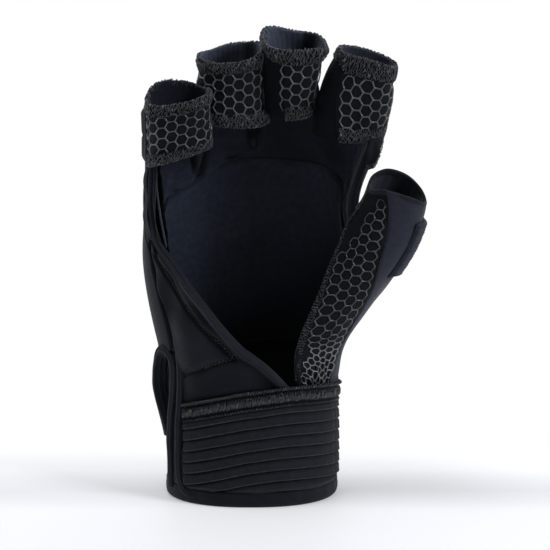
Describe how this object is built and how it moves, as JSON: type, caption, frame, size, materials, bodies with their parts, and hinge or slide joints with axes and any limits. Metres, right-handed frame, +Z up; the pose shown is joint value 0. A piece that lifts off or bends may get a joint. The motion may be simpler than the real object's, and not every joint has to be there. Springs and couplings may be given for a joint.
{
  "type": "field hockey glove",
  "caption": "Right-hand field hockey glove with an open palm, half-length padded fingers and thumb, a diagonal heel panel and a ribbed elastic wrist cuff, standing on its cuff.",
  "frame": {"origin": "on the floor, under the centre of the bounding box", "axes": "+Z up the hand from the cuff to the fingertips, -Y towards the palm side, +X towards the thumb"},
  "size_m": [0.128, 0.0635, 0.2126],
  "materials": {
    "neoprene": "matt smooth-faced foam-backed knit",
    "lining": "matt fine brushed lining cloth",
    "grip": "fine mesh with raised glossy silicone hexagon lines",
    "elastic": "ribbed knitted elastic",
    "binding": "folded stretch binding with stitches",
    "foam_cover": "moulded foam under knit cloth"
  },
  "bodies": {
    "root": {"cuff_rim": "binding", "back_shell": "neoprene", "back_pad": "foam_cover", "lining_pad": "lining", "heel_panel": "neoprene", "cuff_elastic": "elastic", "cuff_tape": "elastic", "slit_binding": "binding", "side_binding": "binding", "thumb_grip": "grip", "thumb_back": "neoprene", "thumb_pad": "foam_cover", "little_grip": "grip", "little_back": "neoprene", "little_pad": "foam_cover", "ring_grip": "grip", "ring_back": "neoprene", "ring_pad": "foam_cover", "middle_grip": "grip", "middle_back": "neoprene", "middle_pad": "foam_cover", "index_grip": "grip", "index_back": "neoprene", "index_pad": "foam_cover"}
  },
  "joints": []
}
